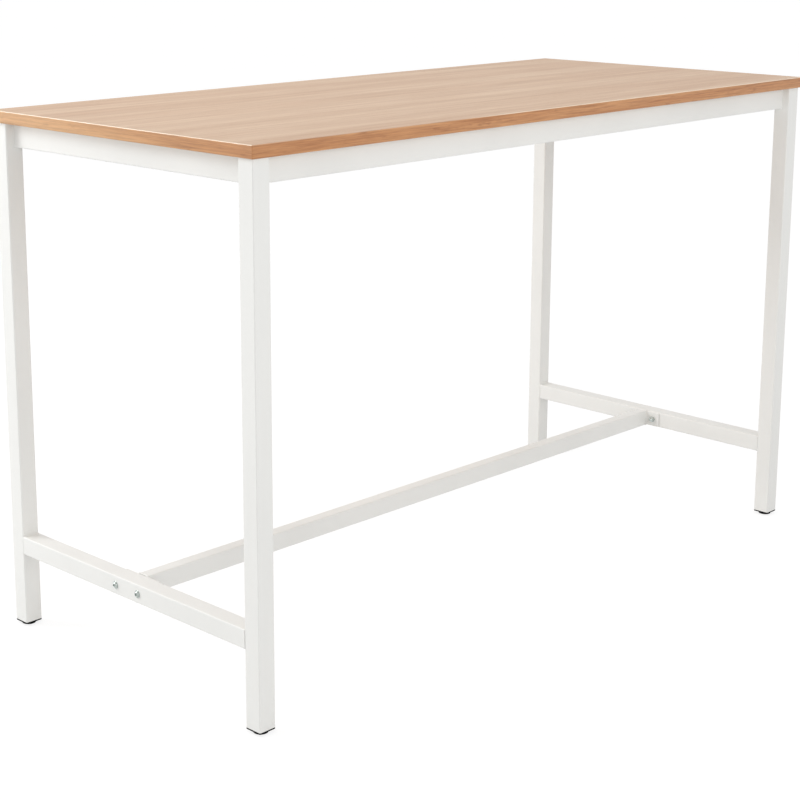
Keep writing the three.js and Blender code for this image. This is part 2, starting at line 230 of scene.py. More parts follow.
def new_material(name: str) -> Tuple[bpy.types.Material, Graph]:
    """An empty node material.

    Args:
        name: its name.

    Returns:
        The material and its graph.
    """
    material = bpy.data.materials.new(name)
    material.use_nodes = True
    return material, Graph(material.node_tree)


@dataclass(frozen=True)
class Finish:
    """A finish of the table. Each kind gives what feeds its own shader."""

    name: str

    def sockets(self, graph: Graph) -> Dict[str, Any]:
        """Values and links of the shader's sockets."""
        raise NotImplementedError

    def build(self) -> bpy.types.Material:
        """Builds the material round one Principled shader.

        Returns:
            The material.
        """
        material, graph = new_material(self.name)
        shader = graph.node("ShaderNodeBsdfPrincipled", {}, self.sockets(graph))
        graph.node("ShaderNodeOutputMaterial", {}, {"Surface": shader})
        return material


class GrainRun(Enum):
    """Which coordinates wood grain follows: the first runs along it and the others across."""

    BOARD = "Object"
    BAND = "UV"


@dataclass(frozen=True)
class Layer:
    """One layer of grain, with its features to the metre along and across.

    Detail is its octaves, share that of each finer octave, and the shift keeps layers apart.
    """

    along: float
    across: float
    detail: float
    share: float
    shift: float = 0.0


@dataclass(frozen=True)
class WoodPrint(Finish):
    """Printed wood grain under a satin coat: broad figure, streaks, fibres and short pores."""

    run: GrainRun
    light: Colour
    middle: Colour
    dark: Colour
    figure: Layer = Layer(0.9, 15.0, 3.0, 0.55)
    streak: Layer = Layer(3.4, 92.0, 4.0, 0.62, 3.7)
    fibre: Layer = Layer(9.0, 330.0, 3.0, 0.60, 7.1)
    pore: Layer = Layer(62.0, 900.0, 1.0, 0.5, 1.9)
    figure_range: Pair = (0.30, 0.70)
    pore_range: Pair = (0.60, 0.75)
    shade_range: Pair = (-0.62, 0.95)
    contrast: float = 1.2
    fibre_shade: float = 0.55
    figure_shade: float = 0.5
    pore_shade: float = 0.22
    roughness: float = 0.46
    fibre_rough: float = 0.10
    pore_rough: float = 0.08
    pore_depth: float = 0.7
    fibre_depth: float = 0.3
    relief: float = 0.06 * MM
    refraction: float = 1.45
    gloss: float = 0.32

    def grain(self, graph: Graph, layer: Layer) -> Value:
        """Noise drawn out along the grain.

        Args:
            graph: the material's graph.
            layer: the layer of grain.

        Returns:
            The noise.
        """
        scale = (layer.along, layer.across, layer.across)
        shift = (layer.shift, 2 * layer.shift, 0.0)
        return graph.noise(self.run.value, scale, layer.detail, layer.share, shift)

    def sockets(self, graph: Graph) -> Dict[str, Any]:
        """The tone follows the figure, and streaks, fibres and pores darken it.

        Args:
            graph: the material's graph.

        Returns:
            Values and links of the shader's sockets.
        """
        layers = (self.figure, self.streak, self.fibre, self.pore)
        figure, streaks, fibres, pores = (self.grain(graph, layer) for layer in layers)
        pores = pores.step(*self.pore_range)
        warm = graph.mix(figure.step(*self.figure_range), self.light, self.middle)
        shade = streaks.swing() * self.contrast + fibres.swing() * self.fibre_shade
        shade = shade + figure.swing() * self.figure_shade + pores * self.pore_shade
        colour = graph.mix(shade.step(*self.shade_range), warm, self.dark)
        rough = fibres.swing() * self.fibre_rough + pores * self.pore_rough + self.roughness
        colour, rough = self.marks_and_painted_light(graph, colour, rough)
        height = 1.0 - (pores * self.pore_depth + fibres * self.fibre_depth)
        return {
            "Base Color": colour,
            "Roughness": rough,
            "Normal": graph.bump(height, self.relief, 0.5),
            "IOR": self.refraction,
            "Specular IOR Level": self.gloss,
        }

    def marks_and_painted_light(self, graph: Graph, colour: Value, rough: Value) -> Tuple[Value, Value]:
        """Colour and roughness as printed, because the board's face gets no flecks, no painted sheen and
        no painted highlight.
        """
        return colour, rough


@dataclass(frozen=True)
class BandPrint(WoodPrint):
    """The edge band's print, flecked, with a painted sheen on its end bands and a painted highlight on
    its upper arris.

    Metres along the rolls give where the band turns lighter and yellower, a painted sheen that is partly
    a yellower tone, and the stretch whose arris gets little of the painted highlight. The arris is
    metres up the band's section, where the pale painted highlight lies.
    """

    # pale colour of the painted highlight along the upper arris
    painted_highlight: Colour = field(kw_only=True)
    # lighter, yellower colour of the painted sheen on the end bands, partly a yellower tone of their own
    sheen_yellow: Colour = field(kw_only=True)
    # where along the rolls the painted sheen rises: towards the back of the left end band, and over all
    # of the right one
    sheen_rise: Pair = (5.8, 6.7)
    sheen_share: float = 0.2
    fleck: Layer = Layer(18.0, 70.0, 2.0, 0.5, 5.3)
    fleck_range: Pair = (0.60, 0.74)
    fleck_share: float = 0.55
    patch: Triple = (26.0, 90.0, 0.0)
    patch_range: Pair = (0.22, 0.62)
    patch_share: float = 0.2
    # stretch along the rolls where the painted highlight on the arris is mostly left out
    whole: Pair = (1.3, 1.9)
    whole_ends: float = 0.2
    whole_share: float = 0.8
    arris: Pair = (24.5 * MM, 25.3 * MM)
    polish: float = 0.22

    def marks_and_painted_light(self, graph: Graph, colour: Value, rough: Value) -> Tuple[Value, Value]:
        """Flecks the print, paints a lighter, yellower sheen on the end bands, then paints a pale
        highlight on the upper arris and polishes it.

        Args:
            graph: the material's graph.
            colour: of the print.
            rough: of the print.

        Returns:
            Colour and roughness with the flecks, the painted sheen and the painted highlight.
        """
        at = graph.node("ShaderNodeTexCoord", out="UV")
        along, up = (graph.node("ShaderNodeSeparateXYZ", {}, {0: at}, out=axis) for axis in (0, 1))
        flecks = self.grain(graph, self.fleck).step(*self.fleck_range)
        colour = graph.mix(flecks * self.fleck_share, colour, self.dark)
        # painted sheen: the end bands turn lighter and yellower, rising towards the back of the left
        # one; partly a yellower tone
        colour = graph.mix(along.step(*self.sheen_rise) * self.sheen_share, colour, self.sheen_yellow)
        patchy = graph.noise("UV", self.patch, 3.0).step(*self.patch_range)
        start, stop = self.whole
        whole = along.step(start - self.whole_ends, start) - along.step(stop, stop + self.whole_ends)
        # painted highlight: a pale line along the upper arris, broken by patches and mostly left out
        # along one stretch, with lower roughness there
        painted_highlight = up.step(*self.arris) * (patchy * self.patch_share + (1 - self.patch_share))
        painted_highlight = painted_highlight * (1.0 - whole * self.whole_share)
        return graph.mix(painted_highlight, colour, self.painted_highlight), rough - painted_highlight * self.polish


@dataclass(frozen=True)
class PowderCoat(Finish):
    """Baked white powder coat: fine orange peel, with faint drifts of tone and gloss."""

    base: Colour
    tint: Colour
    drift: Triple = (6.0, 6.0, 2.5)
    drift_range: Pair = (0.3, 0.75)
    drift_share: float = 0.8
    peel: float = 2.3 * MM
    speck: float = 900.0
    speck_shift: Triple = (4500.0, 1800.0, 7200.0)
    speck_range: Pair = (0.70, 0.80)
    roughness: float = 0.40
    relief: float = 0.05 * MM
    refraction: float = 1.5

    def sockets(self, graph: Graph) -> Dict[str, Any]:
        """Peel is noise of about two millimetres, and the drift of tone is much slower.

        Args:
            graph: the material's graph.

        Returns:
            Values and links of the shader's sockets.
        """
        drift = graph.noise("Object", self.drift, 3.0)
        peel = graph.noise("Object", cube(1 / self.peel), 2.0, 0.45)
        specks = graph.noise("Object", cube(self.speck), 1.0, shift=self.speck_shift)
        tone = drift.step(*self.drift_range) * self.drift_share
        tone = tone + specks.step(*self.speck_range) * (1 - self.drift_share)
        return {
            "Base Color": graph.mix(tone, self.base, self.tint),
            "Roughness": drift.swing() * 0.10 + peel.swing() * 0.08 + self.roughness,
            "Normal": graph.bump(peel, self.relief, 0.6),
            "IOR": self.refraction,
        }


@dataclass(frozen=True)
class ZincPlate(Finish):
    """Bright zinc plating: a grey metal with cloudy patches and a fine, uneven skin."""

    base: Colour
    cloud: Colour
    patch: float = 260.0
    patch_range: Pair = (0.3, 0.72)
    skin: float = 2600.0
    roughness: float = 0.26
    relief: float = 0.02 * MM

    def sockets(self, graph: Graph) -> Dict[str, Any]:
        """Clouds of a few millimetres change colour and gloss.

        Args:
            graph: the material's graph.

        Returns:
            Values and links of the shader's sockets.
        """
        clouds = graph.noise("Object", cube(self.patch), 4.0, 0.6)
        skin = graph.noise("Object", cube(self.skin), 2.0)
        return {
            "Base Color": graph.mix(clouds.step(*self.patch_range), self.base, self.cloud),
            "Metallic": 1.0,
            "Roughness": clouds.swing() * 0.22 + self.roughness,
            "Normal": graph.bump(skin, self.relief, 0.35),
        }


@dataclass(frozen=True)
class MouldedPlastic(Finish):
    """Black moulded plastic with a fine spark-eroded texture and dusty scuffs."""

    base: Colour
    scuff: Colour
    scuff_scale: Triple = (60.0, 60.0, 140.0)
    scuff_range: Pair = (0.56, 0.80)
    grain: float = 1700.0
    roughness: float = 0.62
    relief: float = 0.06 * MM
    gloss: float = 0.12

    def sockets(self, graph: Graph) -> Dict[str, Any]:
        """Grain lies below a millimetre, with slow scuffs over it.

        Args:
            graph: the material's graph.

        Returns:
            Values and links of the shader's sockets.
        """
        grain = graph.noise("Object", cube(self.grain), 2.0, 0.6)
        scuffs = graph.noise("Object", self.scuff_scale, 4.0, 0.65).step(*self.scuff_range)
        return {
            "Base Color": graph.mix(scuffs * 0.6, self.base, self.scuff),
            "Roughness": scuffs * 0.16 + grain.swing() * 0.12 + self.roughness,
            "Normal": graph.bump(grain, self.relief, 0.6),
            "Specular IOR Level": self.gloss,
        }


def build_finishes() -> Dict[str, bpy.types.Material]:
    """Builds every finish.

    Returns:
        The materials, under the names of their slots in the record.
    """
    face = {
        "light": srgb(230, 201, 172),
        "middle": srgb(222, 188, 157),
        "dark": srgb(185, 144, 111),
    }
    band = {
        "light": srgb(217, 160, 109),
        "middle": srgb(206, 144, 92),
        "dark": srgb(144, 86, 47),
        # pale colour of the painted highlight along the band's upper arris
        "painted_highlight": srgb(252, 231, 203),
        # lighter, yellower colour of the painted sheen on the end bands, partly a yellower tone of their
        # own
        "sheen_yellow": srgb(233, 204, 140),
        "figure": Layer(2.0, 60.0, 3.0, 0.55),
        "streak": Layer(9.0, 300.0, 4.0, 0.62, 3.7),
        "fibre": Layer(26.0, 900.0, 3.0, 0.60, 7.1),
        "pore": Layer(34.0, 560.0, 1.0, 0.5, 1.9),
        "contrast": 2.0,
        "roughness": 0.36,
        "gloss": 0.6,
    }
    finishes = (
        WoodPrint("wood_face", GrainRun.BOARD, **face),
        BandPrint("wood_band", GrainRun.BAND, **band),
        PowderCoat("white_coat", srgb(240, 240, 237), srgb(235, 235, 232)),
        ZincPlate("zinc", srgb(203, 209, 206), srgb(164, 172, 168)),
        MouldedPlastic("black_plastic", srgb(8, 8, 9), srgb(18, 18, 19)),
    )
    return {finish.name: finish.build() for finish in finishes}


@dataclass
class Surface:
    """One closed surface: its points, its faces in groups of equal size, and its own UVs if any."""

    points: np.ndarray
    faces: List[np.ndarray]
    uv: Optional[np.ndarray] = None

    def laid(self, basis: np.ndarray, origin: np.ndarray) -> Surface:
        """The surface with its own axes along the rows of a basis and its own zero at an origin."""
        return Surface(self.points @ basis + origin, self.faces, self.uv)


class Lie(Enum):
    """The axis that a long piece lies along, as the number of places its columns roll."""

    UPRIGHT = 0
    LENGTH = 1
    DEPTH = 2


def facing(direction: Sequence[float]) -> np.ndarray:
    """Rows of a right-handed basis whose third row is an axis direction.

    Args:
        direction: one of the six axis directions.

    Returns:
        The three rows.
    """
    along = np.asarray(direction, float)
    across = np.roll(np.abs(along), 1)
    return np.stack([across, np.cross(along, across), along])


def turns(columns: int) -> np.ndarray:
    """Angles that divide a full turn into equal steps."""
    return np.arange(columns) * (FULL_TURN / columns)


def run_length(line: np.ndarray) -> np.ndarray:
    """The distance along a line from its first point to each of its points."""
    return np.concatenate([[0], np.cumsum(np.linalg.norm(np.diff(line, axis=0), axis=1))])


def even_points(line: np.ndarray, spacing: float) -> np.ndarray:
    """Points evenly spaced along a line.

    Args:
        line: the line's own points.
        spacing: about the distance between the new ones.

    Returns:
        The new points.
    """
    along = run_length(line)
    at = np.linspace(0, along[-1], int(along[-1] / spacing) + 1)
    return np.stack([np.interp(at, along, column) for column in line.T], -1)


def grid_quads(rows: int, columns: int, closed: bool = False) -> np.ndarray:
    """Quads between the neighbours of a grid of points whose rows are rings.

    Args:
        rows, columns: the grid's size.
        closed: whether the last row meets the first.

    Returns:
        Corner numbers, four to a row.
    """
    row = np.arange(rows if closed else rows - 1)[:, None]
    column = np.arange(columns)[None, :]
    next_row = (row + 1) % rows
    next_column = (column + 1) % columns
    corners = [
        row * columns + column,
        row * columns + next_column,
        next_row * columns + next_column,
        next_row * columns + column,
    ]
    return np.stack(corners, -1).reshape(-1, 4)


def capped_surface(grid: np.ndarray, uv: Optional[np.ndarray] = None) -> Surface:
    """A grid of points whose rows are rings, with a flat face over the first and the last.

    Args:
        grid: the points, by row and column.
        uv: their own UVs, if any.

    Returns:
        The surface.
    """
    rows, columns = grid.shape[:2]
    ring = np.arange(columns)
    ends = np.stack([ring[::-1], ring + (rows - 1) * columns])
    return Surface(grid.reshape(-1, 3), [grid_quads(rows, columns), ends], uv)


def rounded_outline(width: float, height: float, radius: float, steps: int = 8) -> np.ndarray:
    """A rectangle with round corners, anticlockwise.

    Four quarter circles about the corners' own centres, each a quarter turn on from the last,
    and the straight sides are the gaps between them.

    Args:
        width, height: the whole rectangle.
        radius: of its corners.
        steps: of each quarter.

    Returns:
        Points of the outline, two columns.
    """
    quarter = np.linspace(0, QUARTER_TURN, steps + 1)
    angle = np.arange(4)[:, None] * QUARTER_TURN + quarter[None, :]
    signs = np.array([[1, 1], [-1, 1], [-1, -1], [1, -1]])
    centre = signs * [width / 2 - radius, height / 2 - radius]
    ring = np.stack([np.cos(angle), np.sin(angle)], -1) * radius
    return (centre[:, None, :] + ring).reshape(-1, 2)


def stack_outlines(outlines: Sequence[np.ndarray], heights: Sequence[float]) -> np.ndarray:
    """Gives each outline its height: a grid of points, one row to an outline."""
    level = np.broadcast_to(np.asarray(heights)[:, None, None], (len(heights), len(outlines[0]), 1))
    return np.concatenate([np.stack(outlines), level], -1)


def tube_surface(low: np.ndarray, high: np.ndarray, lie: Lie, radius: float, wall: float) -> Surface:
    """An open tube that fills a box.

    The section's outline runs up the outside and its inset outline down the inside, and the two
    meet across each end, so the grid closes both ways.

    Args:
        low, high: the box's corners.
        lie: the axis the tube lies along.
        radius: of its outer corners.
        wall: of the tube.

    Returns:
        The surface.
    """
    size = np.roll(high - low, -lie.value)
    outer = rounded_outline(size[0], size[1], radius)
    inner = rounded_outline(size[0] - 2 * wall, size[1] - 2 * wall, radius - wall)
    half = size[2] / 2
    grid = stack_outlines([outer, outer, inner, inner], [-half, half, half, -half])
    points = np.roll(grid.reshape(-1, 3), lie.value, axis=1) + (low + high) / 2
    return Surface(points, [grid_quads(4, len(outer), closed=True)])


def slab_surface(
    width: float, height: float, thick: float, corner: float, edge: float, tighten: float = 0.6
) -> Surface:
    """A flat plate with round corners and softened edges, from zero up.

    The outline shrinks by a quarter circle of the edge radius towards both faces.

    Args:
        width, height, thick: of the plate.
        corner: radius of its outline.
        edge: radius of its edges.
        tighten: how much of the shrinking the corner's radius loses.

    Returns:
        The surface.
    """
    turn = np.linspace(0, QUARTER_TURN, 5)
    inset = edge * np.concatenate([1 - np.sin(turn), 1 - np.cos(turn)])
    level = np.concatenate([edge * (1 - np.cos(turn)), thick - edge * (1 - np.sin(turn))])
    outlines = [rounded_outline(width - 2 * i, height - 2 * i, corner - i * tighten) for i in inset]
    return capped_surface(stack_outlines(outlines, level))


def polar_surface(radius: np.ndarray, height: np.ndarray) -> Surface:
    """A surface about its own z axis: each row of radii, at its height, is one ring.

    A point is (radius cos turn, radius sin turn, height). The first and last rows have no radius
    and are single points.

    Args:
        radius: one row to a ring, one column to a step of the turn.
        height: of each ring.

    Returns:
        The surface.
    """
    rows, columns = radius.shape
    turn = turns(columns)
    level = np.broadcast_to(height[:, None], radius.shape)
    grid = np.stack([radius * np.cos(turn), radius * np.sin(turn), level], -1)
    rings = grid[1:-1].reshape(-1, 3)
    points = np.concatenate([rings, grid[:1, 0], grid[-1:, 0]])
    here = np.arange(columns)
    after = (here + 1) % columns
    top = (rows - 3) * columns
    first = np.stack([after, here, np.full(columns, len(rings))], -1)
    last = np.stack([here + top, after + top, np.full(columns, len(rings) + 1)], -1)
    return Surface(points, [grid_quads(rows - 2, columns), first, last])


def swept_surface(
    path: np.ndarray, outward: np.ndarray, profile: np.ndarray, start: float
) -> Surface:
    """A closed profile carried along an open level path, with flat ends.

    A point is the path's point plus the outward direction times the profile's first column, raised
    by its second. UVs are metres along the path and round the profile.

    Args:
        path: points of the path, in plan.
        outward: the direction away from the piece's middle, at each point.
        profile: outward offset and height of each point of the section, anticlockwise.
        start: what the UVs along the path start from, in metres.

    Returns:
        The surface.
    """
    plan = path[:, None, :] + outward[:, None, :] * profile[None, :, :1]
    rise = np.broadcast_to(profile[None, :, 1:], plan.shape[:2] + (1,))
    along = start + run_length(path)
    uv = np.stack(np.broadcast_arrays(along[:, None], run_length(profile)[None, :]), -1)
    return capped_surface(np.concatenate([plan, rise], -1), uv.reshape(-1, 2))


def bead_surface(
    path: np.ndarray, side: np.ndarray, lift: np.ndarray, radius: float, pitch: float
) -> Surface:
    """A rippled weld bead along a path: a circle whose radius swells once in each pitch.

    A point is the path's point plus the radius times (cos turn side + sin turn lift). The ripple is
    a power of a half sine, and the radius falls to a point at both ends.

    Args:
        path: points along the bead, evenly spaced.
        side, lift: two directions square to the path, at each point.
        radius: of the bead.
        pitch: of its ripples.

    Returns:
        The surface.
    """
    waist, sharpness, taper, tip = 0.86, 0.7, 1.5 * radius, 0.02
    along = run_length(path)
    ripple = np.abs(np.sin(np.pi * along / pitch)) ** sharpness
    ends = np.clip(np.minimum(along, along[-1] - along) / taper, tip, 1) ** 0.5
    swell = radius * (waist + (1 - waist) * ripple) * ends
    turn = turns(12)[None, :, None]
    ring = np.cos(turn) * side[:, None, :] + np.sin(turn) * lift[:, None, :]
    return capped_surface(path[:, None, :] + swell[:, None, None] * ring)


def read(
    items: bpy.types.bpy_prop_collection, name: str, width: int = 1, kind: type = float
) -> np.ndarray:
    """One property of all the items of a mesh.

    Args:
        items: the mesh's polygons or loops.
        name: the property.
        width: its numbers to an item.
        kind: of number.

    Returns:
        One number, or one row, to an item.
    """
    values = np.empty(len(items) * width, kind)
    items.foreach_get(name, values)
    return values if width == 1 else values.reshape(-1, width)


def corner_normals(mesh: bpy.types.Mesh, crease: float = 38.0) -> np.ndarray:
    """A normal for each face corner: the area-weighted mean of the faces round its point.

    Only faces within the crease angle of the corner's own face are counted, so flats stay flat,
    curves are smooth and hard edges stay hard.

    Args:
        mesh: a mesh with its faces in place.
        crease: degrees.

    Returns:
        One unit vector for each face corner.
    """
    point = read(mesh.loops, "vertex_index", kind=np.int64)
    sides = read(mesh.polygons, "loop_total", kind=np.int64)
    count = len(point)
    face = np.repeat(np.arange(len(sides)), sides)
    own = read(mesh.polygons, "normal", 3)[face]
    area = read(mesh.polygons, "area")[face]
    order = np.argsort(point, kind="stable")
    shared = np.bincount(point)
    first = np.concatenate([[0], np.cumsum(shared)])[point]
    pairs = shared[point]
    this = np.repeat(np.arange(count), pairs)
    step = np.arange(len(this)) - np.repeat(np.cumsum(pairs) - pairs, pairs)
    other = order[np.repeat(first, pairs) + step]
    near = (own[this] * own[other]).sum(1) > math.cos(math.radians(crease))
    weight = np.where(near, area[other], 0.0)[:, None] * own[other]
    total = np.stack([np.bincount(this, weight[:, axis], count) for axis in range(3)], -1)
    return total / np.linalg.norm(total, axis=1, keepdims=True)


def inside_out(mesh: bpy.types.Mesh) -> bool:
    """Whether a closed mesh has a negative volume.

    The volume is a sum over faces: area times the distance of the face's plane from the middle.

    Args:
        mesh: a mesh with its faces in place.

    Returns:
        True if its faces point inwards.
    """
    area, centre, normal = (
        read(mesh.polygons, name, width) for name, width in (("area", 1), ("center", 3), ("normal", 3))
    )
    return bool((area * ((centre - centre.mean(0)) * normal).sum(1)).sum() < 0)


def node_box(node: str) -> Tuple[np.ndarray, np.ndarray]:
    """The lowest and highest corners of a CAD node, as arrays."""
    low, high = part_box(node)
    return np.array(low), np.array(high)


@dataclass
class Workshop:
    """Turns surfaces into pieces of the table and gives them their finishes."""

    finishes: Dict[str, bpy.types.Material]

    def make(
        self, name: str, surface: Surface, slot: str, body: str = BODY, stands_for: Sequence[str] = ()
    ) -> None:
        """Makes one piece.

        Args:
            name: the piece's name.
            surface: its surface, in place.
            slot: its finish.
            body: the CAD body that it rides on.
            stands_for: the CAD nodes that it replaces.
        """
        mesh = bpy.data.meshes.new(name)
        faces = [face for group in surface.faces for face in group.tolist()]
        mesh.from_pydata(surface.points.tolist(), [], faces)
        if inside_out(mesh):
            mesh.flip_normals()
        mesh.update()
        mesh.polygons.foreach_set("use_smooth", np.ones(len(mesh.polygons), bool))
        if surface.uv is not None:
            point = read(mesh.loops, "vertex_index", kind=np.int64)
            layer = mesh.uv_layers.new(name="grain")
            layer.data.foreach_set("uv", surface.uv[point].ravel())
        mesh.normals_split_custom_set(corner_normals(mesh).tolist())
        mesh.materials.append(self.finishes[slot])
        piece = bpy.data.objects.new(name, mesh)
        bpy.context.scene.collection.objects.link(piece)
        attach(piece, body)
        if stands_for:
            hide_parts(*stands_for)
        LOG.info("%s: %d faces in %s", name, len(mesh.polygons), slot)

    def dress(self, node: str, slot: str) -> None:
        """Gives a CAD node that stays in view its finish.

        Args:
            node: the CAD node.
            slot: the finish.
        """
        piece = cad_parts[node]
        for place in piece.material_slots:
            place.material = self.finishes[slot]
        LOG.info("%s: CAD shape in %s", node, slot)


class Drive(Enum):
    """The recess in a bolt's or screw's head."""

    HEXAGON = "hexagon"
    CROSS = "cross"

    def outline(self, turn: np.ndarray, arm: float = 0.13) -> np.ndarray:
        """The recess's reach at each angle, for one of unit size across.

        A hexagon is its flats' distance over the cosine from the nearest flat. A cross is the
        smaller of its arm's end and its arm's side.

        Args:
            turn: angles.
            arm: half the width of a cross's arm.

        Returns:
            The reach at each.
        """
        if self is Drive.HEXAGON:
            return 0.5 / np.cos(np.mod(turn, np.pi / 3) - np.pi / 6)
        across, beside = np.abs(np.cos(turn)), np.abs(np.sin(turn))
        side = arm / np.maximum(np.minimum(across, beside), 1e-6)
        return np.minimum(0.5 / np.maximum(across, beside), side)


@dataclass(frozen=True)
class Fastener:
    """A kind of bolt or screw with a domed head, along its own -z from its seat at zero.

    A button is the width of a dome on a wider collar, or 0 where the head has no collar. The land
    is the share of the dome's width at its cut top, and the walls are the shares of the recess's
    width from its mouth to the middle of its floor.
    """

    shank: float
    height: float
    drive: Drive
    recess: float
    depth: float
    button: float = 0.0
    point: float = 1.0 * MM
    taper: float = 0.9
    rim: float = 1.0 * MM
    edge: float = 0.3 * MM
    land: float = 0.60
    mouth: float = 0.25 * MM
    cone: float = 0.3 * MM
    walls: Tuple[float, ...] = (1.12, 1.0, 0.96, 0.0)
    columns: int = 96

    def surface(self, length: float, wide: float) -> Surface:
        """Rings from the tip up the shank, over collar and dome, into the recess and to its floor.

        The dome is a quarter of an ellipse cut off at the land.

        Args:
            length: of the shank.
            wide: the width of the collar, or of a head without one.

        Returns:
            The surface, about its own z axis.
        """
        radius, outer = self.shank / 2, wide / 2
        half = self.button / 2 if self.button else outer
        tip = radius - min(self.point, self.taper * radius)
        body = [0, tip, radius, radius, outer - self.edge, outer]
        body_level = [-length, -length, self.point - length, 0, 0, self.edge]
        if outer > half:
            body += [outer, outer - self.edge, half + self.edge]
            body_level += [self.rim - self.edge, self.rim, self.rim]
        land_turn = math.acos(self.land)
        sweep = np.linspace(0, land_turn, 8)
        dome = half * np.cos(sweep)
        crown = self.rim + (self.height - self.rim) * np.sin(sweep) / math.sin(land_turn)
        ring = np.concatenate([body, dome])[:, None] * np.ones(self.columns)
        reach = self.drive.outline(turns(self.columns)) * self.recess
        hole = np.array(self.walls)[:, None] * reach
        floor = self.height - self.depth
        hole_level = [self.height, self.height - self.mouth, floor, floor - self.cone]
        level = np.concatenate([body_level, crown, hole_level])
        return polar_surface(np.concatenate([ring, hole]), level)


@dataclass
class Assembly:
    """A sub-assembly of the table, whose pieces a workshop makes."""

    shop: Workshop

    def build(self) -> None:
        """Makes the pieces, each sub-assembly its own."""
        raise NotImplementedError

    def fit(
        self,
        name: str,
        node: str,
        surface: Surface,
        slot: str,
        toward: Sequence[float],
        below: float = 0.0,
        body: str = BODY,
    ) -> None:
        """Makes a piece in the place of a node, standing on one side of the node's box.

        Args:
            name: the piece's name.
            node: the CAD node that it replaces.
            surface: its surface, along its own z.
            slot: its finish.
            toward: the axis direction that its own z takes.
            below: how far it reaches below its own zero.
            body: the CAD body that it rides on.
        """
        low, high = node_box(node)
        axis = np.asarray(toward, float)
        foot = np.where(axis > 0, low, np.where(axis < 0, high, (low + high) / 2))
        laid = surface.laid(facing(axis), foot + axis * below)
        self.shop.make(name, laid, slot, body, [node])

    def fasten(self, name: str, node: str, kind: Fastener, toward: Sequence[float]) -> None:
        """Makes a zinc bolt or screw as long and as wide as its node.

        Args:
            name: the piece's name.
            node: the CAD node that it replaces.
            kind: the bolt or screw.
            toward: the axis direction of its head.
        """
        low, high = node_box(node)
        wide, _, whole = np.abs(facing(toward)) @ (high - low)
        length = whole - kind.height
        self.fit(name, node, kind.surface(length, wide), "zinc", toward, length)


@dataclass
class TableTop(Assembly):
    """The coated board and the plastic band glued round its edges.

    The starts are metres along the rolls that the bands are cut from; they also place the painted sheen
    on the end bands and the stretch of upper arris with little painted highlight.
    """

    arris: float = 1.8 * MM
    corner: float = 2.1 * MM
    band: float = 2.0 * MM
    joint: float = 0.1 * MM
    side_starts: Pair = (0.0, 2.2)
    end_starts: Pair = (6.0, 7.4)

    def build(self) -> None:
        """Dresses the board and makes the four lengths of band, the long ones round the corners."""
        self.shop.dress("table_top", "wood_face")
        half = np.array(CAD_BOX[1])[:2]
        centre = half - self.corner
        turn = np.linspace(0, QUARTER_TURN, 9)
        right = np.stack([np.cos(turn), np.sin(turn)], -1)
        left = np.stack([-np.sin(turn), np.cos(turn)], -1)
        outward = np.concatenate([right, left])
        path = np.repeat([centre, centre * [-1, 1]], len(turn), axis=0) + outward * self.corner
        for side, sign, start in zip(SIDES, SIGNS, self.side_starts):
            flip = np.array([1, sign])
            self.glue(side, path * flip, outward * flip, start)
        reach = centre[1] - self.joint
        for end, sign, start in zip(ENDS, SIGNS, self.end_starts):
            line = np.array([[sign * half[0], -reach], [sign * half[0], reach]])
            self.glue(end, line, np.array([[sign, 0], [sign, 0]]), start)

    def glue(self, side: str, path: np.ndarray, outward: np.ndarray, start: float) -> None:
        """Makes one length of band.

        Args:
            side: of the board.
            path: points of the board's outline, in plan.
            outward: the direction away from the board, at each point.
            start: where on its roll the length is cut.
        """
        surface = swept_surface(path, outward, self.section(), start)
        self.shop.make(f"band_{side}", surface, "wood_band", stands_for=[f"edge_band_{side}"])

    def section(self) -> np.ndarray:
        """The band's section: flat at the back, with a quarter circle on both outer edges.

        Returns:
            Outward offset and height of each point.
        """
        floor, top = (corner[2] for corner in node_box("table_top"))
        turn = np.linspace(0, QUARTER_TURN, 7)
        sine, cosine = self.arris * (1 - np.sin(turn)), self.arris * (1 - np.cos(turn))
        lower = np.stack([-sine, floor + cosine], -1)
        upper = np.stack([-cosine, top - sine], -1)
        back = np.array([[-self.band, top], [-self.band, floor]])
        return np.concatenate([lower, upper, back])


